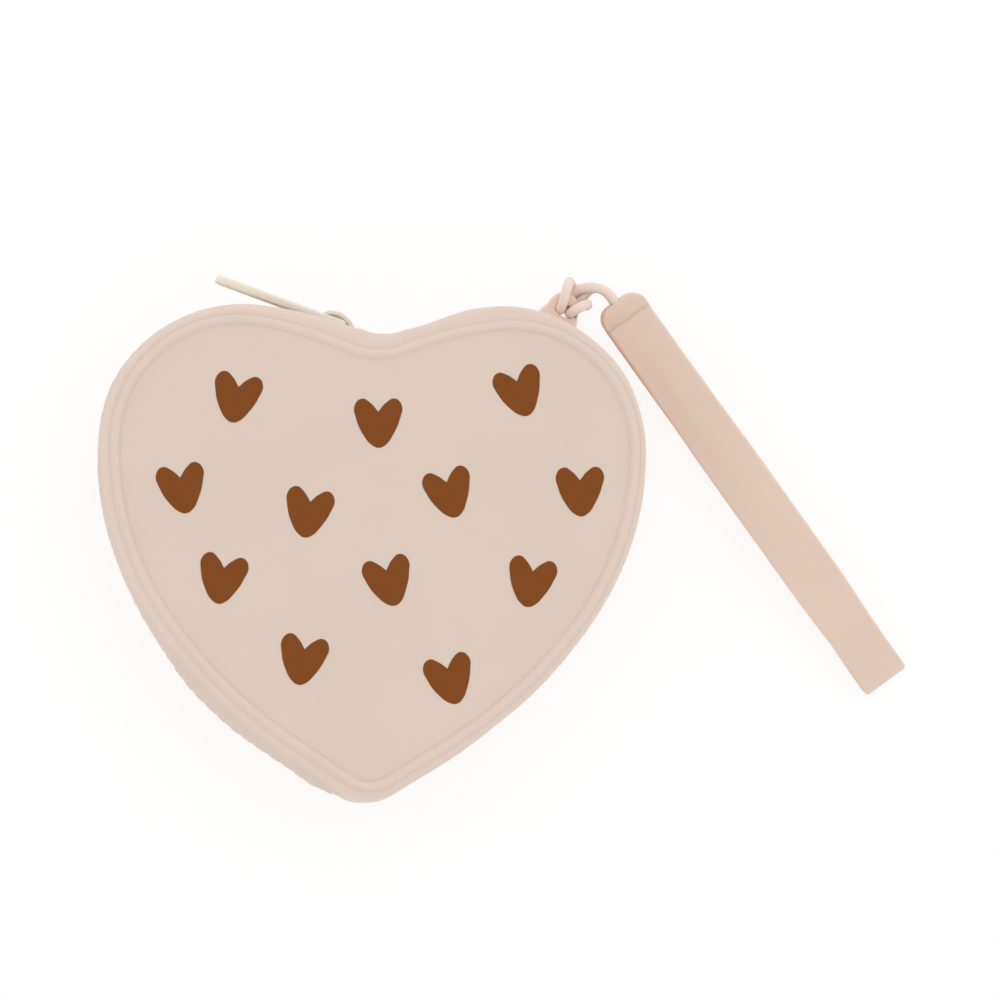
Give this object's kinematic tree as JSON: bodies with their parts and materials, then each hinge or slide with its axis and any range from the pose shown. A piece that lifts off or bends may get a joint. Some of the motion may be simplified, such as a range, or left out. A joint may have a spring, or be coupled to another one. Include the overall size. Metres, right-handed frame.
{
  "type": "heart shaped zip purse",
  "caption": "Soft heart shaped silicone zip purse with a printed heart pattern and a wrist strap tied to a tab, lying on its back.",
  "frame": {"origin": "centre of the flat back that the purse lies on", "axes": "+Z out of the printed front, +Y from the tip of the heart to its cleft, +X towards the lobe that carries the strap"},
  "size_m": [0.1631, 0.1066, 0.028],
  "materials": {
    "body_silicone": "matte",
    "zip_tape": "woven",
    "zip_teeth": "satin",
    "zip_metal": "satin",
    "pull_rubber": "matte",
    "strap_cord": "matte",
    "strap_silicone": "matte"
  },
  "bodies": {
    "purse": {"back_shell": "body_silicone", "front_shell": "body_silicone", "front_fold": "body_silicone", "strap_tab": "body_silicone", "zip_tape_back": "zip_tape", "zip_tape_fold": "zip_tape", "zip_teeth_back": "zip_teeth", "zip_teeth_fold": "zip_teeth", "zip_top_stop": "zip_teeth", "zip_bottom_stop": "zip_teeth"},
    "flap": {"front_flap": "body_silicone", "zip_tape_front": "zip_tape", "zip_teeth_front": "zip_teeth"},
    "runner": {"zip_slider": "zip_metal", "zip_bail": "zip_metal"},
    "tongue": {"zip_pull": "pull_rubber"},
    "knot": {"strap_cord": "strap_cord"},
    "wrist_loop": {"strap_sleeve": "strap_silicone", "strap_band": "strap_silicone"}
  },
  "joints": [
    {"name": "front_open", "type": "hinge", "parent": "purse", "child": "flap", "pos_m": [-0.018, 0, 0.014], "axis": [0, 1, 0], "range_deg": [0, 30], "deforming": ["front_fold", "zip_tape_fold", "zip_teeth_fold"]},
    {"name": "zip_travel", "type": "hinge", "parent": "purse", "child": "runner", "pos_m": [-0.02438, 0.00643, 0.014], "axis": [0, 0, 1], "range_deg": [0, 48], "deforming": ["zip_teeth_back", "zip_teeth_fold", "zip_teeth_front", "zip_tape_back", "zip_tape_fold", "zip_tape_front"]},
    {"name": "pull_swing", "type": "hinge", "parent": "runner", "child": "tongue", "pos_m": [-0.00651, 0.04687, 0.014], "axis": [0, 0, -1], "range_deg": [0, 140]},
    {"name": "strap_swing", "type": "hinge", "parent": "purse", "child": "knot", "pos_m": [0.038, 0.0509, 0.014], "axis": [0, 0, 1], "range_deg": [-6, 70]},
    {"name": "strap_lift", "type": "hinge", "parent": "knot", "child": "wrist_loop", "pos_m": [0.04927, 0.05456, 0.01257], "axis": [-0.809, -0.5878, 0], "range_deg": [0, 80], "deforming": ["strap_cord"]}
  ]
}
